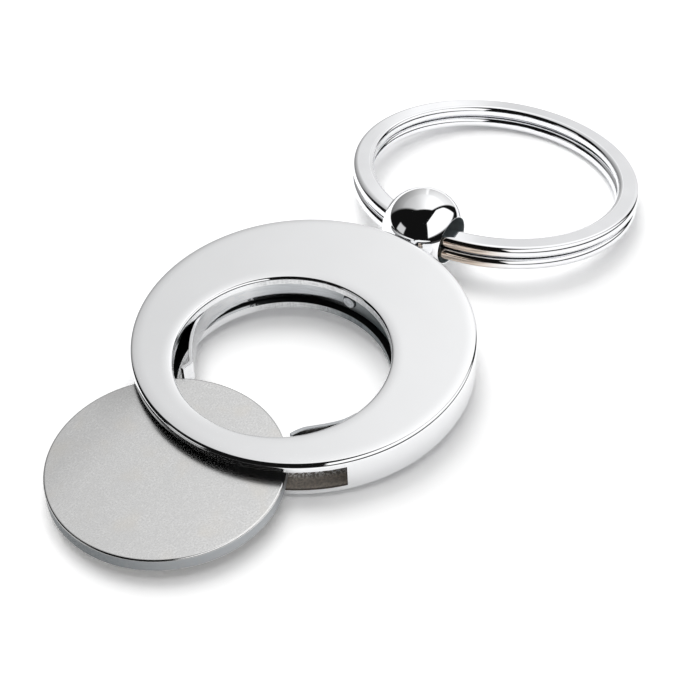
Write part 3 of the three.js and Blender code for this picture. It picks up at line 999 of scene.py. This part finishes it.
class KEYCHAIN_OT_ring(Operator):
    """Build the split ring: flat wire wound twice"""

    bl_idname = "keychain.ring"
    bl_label = "Split ring"

    def execute(self, context):
        scene = context.scene
        size = scene.keychain_ring
        start = size.step + size.end
        turn = np.linspace(start, 4 * math.pi - start, 2 * scene.keychain_stage.rows)
        share = np.clip((turn - 2 * math.pi + size.step) / (2 * size.step), 0, 1)
        height = (size.thickness + size.gap) / 2 / MM * np.cos(math.pi * share)
        out = np.stack((np.cos(turn + math.pi), np.sin(turn + math.pi)), 1)
        path = np.column_stack((size.radius / MM * out, height))
        outline = rounded_box(size.width / MM, size.thickness / MM, size.edge / MM)
        round_it = around(np.vstack((outline, outline[:1])))
        place = ring_frame(scene)
        piece = grid(carried(path, out, outline), False, place, "wound_ring", (around(path), round_it))
        finish = drawn_wire(size.plate, size.warm, place, size.radius / MM, BALL_PLACE)
        dress(piece, "ring_body", "split_ring", "polished_ring", finish)
        return {"FINISHED"}


# Stage

# The camera's place beside the ball's centre and its directions, solved from the photograph.
CAMERA_FROM_BALL = (-0.1078310, -0.0657650, 0.0993663)
CAMERA_AHEAD = (0.597155, 0.418894, -0.684062)
CAMERA_RIGHT = (0.574277, -0.818661, 0.0)
CAMERA_UP = (0.560015, 0.392841, 0.729429)
CAMERA_ROLL = math.radians(0.5592)

# The camera's direction on the floor.
CAMERA_LEVEL = np.array(CAMERA_AHEAD[:2]) / math.hypot(*CAMERA_AHEAD[:2])

# Where the lamps stand, in metres from the keychain's middle.
LAMP_BEHIND = (0.1, 0.2, 0.4)
LAMP_ABOVE = (0.0, 0.0, 0.45)


class KEYCHAIN_OT_stage(Operator):
    """Set the floor, the lamps, the tent of light and the camera"""

    bl_idname = "keychain.stage"
    bl_label = "Stage"

    def execute(self, context):
        scene = context.scene
        stage = scene.keychain_stage
        self.floor(scene, stage)
        self.world(scene, stage)
        self.lamp(scene, "lamp_behind", LAMP_BEHIND, stage.behind, stage.lamp_size)
        self.lamp(scene, "lamp_above", LAMP_ABOVE, stage.above, stage.lamp_size)
        self.camera(scene, stage)
        scene.view_settings.view_transform = "Standard"
        return {"FINISHED"}

    @staticmethod
    def floor(scene, stage):
        """A flat white floor, a hair under the lowest rounded edge. The camera sees it lifted to white,
        more so where the lamps are far, with the keychain's shadow kept. Metal sees it end in the
        dark room on the camera's side."""
        reach, level = 3.0, -0.00002
        mesh = bpy.data.meshes.new("floor")
        corners = [(x * reach, y * reach, level) for x, y in ((-1, -1), (1, -1), (1, 1), (-1, 1))]
        mesh.from_pydata(corners, [], [(0, 1, 2, 3)])
        floor = bpy.data.objects.new("floor", mesh)
        scene.collection.objects.link(floor)
        made, f = material("white_floor")
        at = f.place()
        paper = f.grain(at, 900.0, 2.0)
        away = f.vector("LENGTH", at)
        tone = f.mixed(paper, scaled_colour(stage.floor, 0.995), stage.floor)
        path = f.add("ShaderNodeLightPath", output=None)
        seen = Reading(f, path.outputs["Is Camera Ray"])
        mirrored = Reading(f, path.outputs["Is Glossy Ray"])
        sheet = f.vector("DOT_PRODUCT", at, (*CAMERA_LEVEL, 0)).ramp(-0.052, -0.038, 0.06, 1.0)
        lift = 1.0 + seen * (away.ramp(0.06, 0.36, 1.0, stage.seen_far) * stage.seen - 1.0)
        lift = lift + mirrored * (sheet * stage.mirrored - 1.0)
        lifted = f.vector("SCALE", tone, lift)
        matt = f.add("ShaderNodeBsdfDiffuse", None, Color=lifted)
        f.add("ShaderNodeOutputMaterial", None, matt, output=None)
        mesh.materials.append(made)

    @staticmethod
    def world(scene, stage):
        """The light round the keychain. The camera sees white and matt surfaces get an even fill.
        Metal sees the tent: a pale wall behind and above that is brighter to the right, a window to
        the right of the camera, a small gap on the left, and the dark room on the camera's side.
        In a direction, u points ahead of the camera, v to its right and z up. A side of the wall or
        the window is a plane through the keychain: a weighted sum of u, v and z that is zero there."""
        world = bpy.data.worlds.new("tent")
        world.use_nodes = True
        world.cycles.sampling_method = "NONE"
        scene.world = world
        f = Finish(world.node_tree)
        x, y, z = f.split(f.add("ShaderNodeTexCoord", output="Generated"))
        fx, fy = map(float, CAMERA_LEVEL)
        u = x * fx + y * fy
        v = x * fy - y * fx
        across = bearing(u, v)
        up = z.maths("ARCSINE") * math.degrees(1)
        right = u * 0.682 - v * 0.69 + z * 0.247
        left = u * 0.826 + v * 0.534 + z * 0.184
        wall = right.ramp(-0.01, 0.05) * left.ramp(-0.03, 0.09) * u.ramp(-0.01, 0.06)
        seam = v.window(0.085, 0.14, 0.02) * 0.24 - v.ramp(0.13, 0.17) * 0.12 - 0.06
        low = z.ramp(0.5, 0.62, 1.0, 0.0) * seam
        tone = (0.6 + z * 0.38 + v * 0.25 + v.ramp(-0.35, 0.35, -0.2, 0.2) + low).maths("MINIMUM", 1.08)
        rise = z / (v * 0.906 - u * 0.423)
        window = across.window(62.0, 169.0, 1.5) * rise.window(0.33, 2.15, 0.06)
        window = window * right.ramp(-0.09, -0.05, 1.0, 0.0)
        gap = across.window(-122.0, -98.0, 2.0) * up.window(5.0, 23.0, 2.0)
        tent = (wall * tone).maths("MAXIMUM", window * 1.1).maths("MAXIMUM", gap * 0.62)
        tent = tent + 0.006
        path = f.add("ShaderNodeLightPath", output=None)
        mirrored = Reading(f, path.outputs["Is Glossy Ray"])
        matt = Reading(f, path.outputs["Is Diffuse Ray"])
        strength = mirrored * tent * (stage.tent / 0.93) + matt * stage.fill + (1.0 - mirrored - matt)
        light = f.add("ShaderNodeBackground", None, (1, 1, 1, 1), strength)
        f.add("ShaderNodeOutputWorld", None, light, output=None)

    @staticmethod
    def lamp(scene, name, place, power, size):
        """A large soft lamp that faces the keychain. It gives the floor its shadow and metal never
        mirrors it."""
        light = bpy.data.lights.new(name, "AREA")
        light.shape = "DISK"
        light.size = size
        light.energy = power
        lamp = bpy.data.objects.new(name, light)
        lamp.location = place
        lamp.rotation_euler = (-lamp.location).to_track_quat("-Z", "Y").to_euler()
        lamp.visible_glossy = False
        lamp.visible_camera = False
        scene.collection.objects.link(lamp)

    @staticmethod
    def camera(scene, stage):
        """The camera, at the place and angle of the photograph."""
        right, up = np.array(CAMERA_RIGHT), np.array(CAMERA_UP)
        c, s = math.cos(CAMERA_ROLL), math.sin(CAMERA_ROLL)
        matrix = np.identity(4)
        matrix[:3, 0], matrix[:3, 1] = c * right + s * up, c * up - s * right
        matrix[:3, 2] = -np.array(CAMERA_AHEAD)
        matrix[:3, 3] = np.array(BALL_PLACE) + CAMERA_FROM_BALL
        lens = bpy.data.cameras.new("camera")
        lens.lens = stage.lens
        lens.sensor_width = 36
        lens.clip_start = 0.005
        lens.clip_end = 20
        camera = bpy.data.objects.new("camera", lens)
        camera.matrix_world = Matrix(matrix.tolist())
        scene.collection.objects.link(camera)
        scene.camera = camera


class KEYCHAIN_PT_panel(Panel):
    """The keychain's pieces, in the order they are built"""

    bl_idname = "KEYCHAIN_PT_panel"
    bl_label = "Keychain"
    bl_space_type = "VIEW_3D"
    bl_region_type = "UI"
    bl_category = "Keychain"

    def draw(self, context):
        for name, operator in STEPS:
            self.layout.operator("keychain." + operator, text=name)


STEPS = (
    ("Stage", "stage"),
    ("Casing", "casing"),
    ("Clip spring and pin", "clip"),
    ("Token", "token"),
    ("Ball", "ball"),
    ("Split ring", "ring"),
)
GROUPS = (
    ("keychain_casing", KeychainCasing),
    ("keychain_spring", KeychainSpring),
    ("keychain_pin", KeychainPin),
    ("keychain_token", KeychainToken),
    ("keychain_ball", KeychainBall),
    ("keychain_ring", KeychainRing),
    ("keychain_stage", KeychainStage),
)
CLASSES = (
    KEYCHAIN_OT_stage,
    KEYCHAIN_OT_casing,
    KEYCHAIN_OT_clip,
    KEYCHAIN_OT_token,
    KEYCHAIN_OT_ball,
    KEYCHAIN_OT_ring,
    KEYCHAIN_PT_panel,
)


def register():
    for name, group in GROUPS:
        bpy.utils.register_class(group)
        setattr(bpy.types.Scene, name, PointerProperty(type=group))
    for made in CLASSES:
        bpy.utils.register_class(made)


def unregister():
    for made in reversed(CLASSES):
        bpy.utils.unregister_class(made)
    for name, group in reversed(GROUPS):
        delattr(bpy.types.Scene, name)
        bpy.utils.unregister_class(group)


def main():
    """Builds every piece in order."""
    register()
    for _, operator in STEPS:
        getattr(bpy.ops.keychain, operator)()


if __name__ == "__main__":
    main()
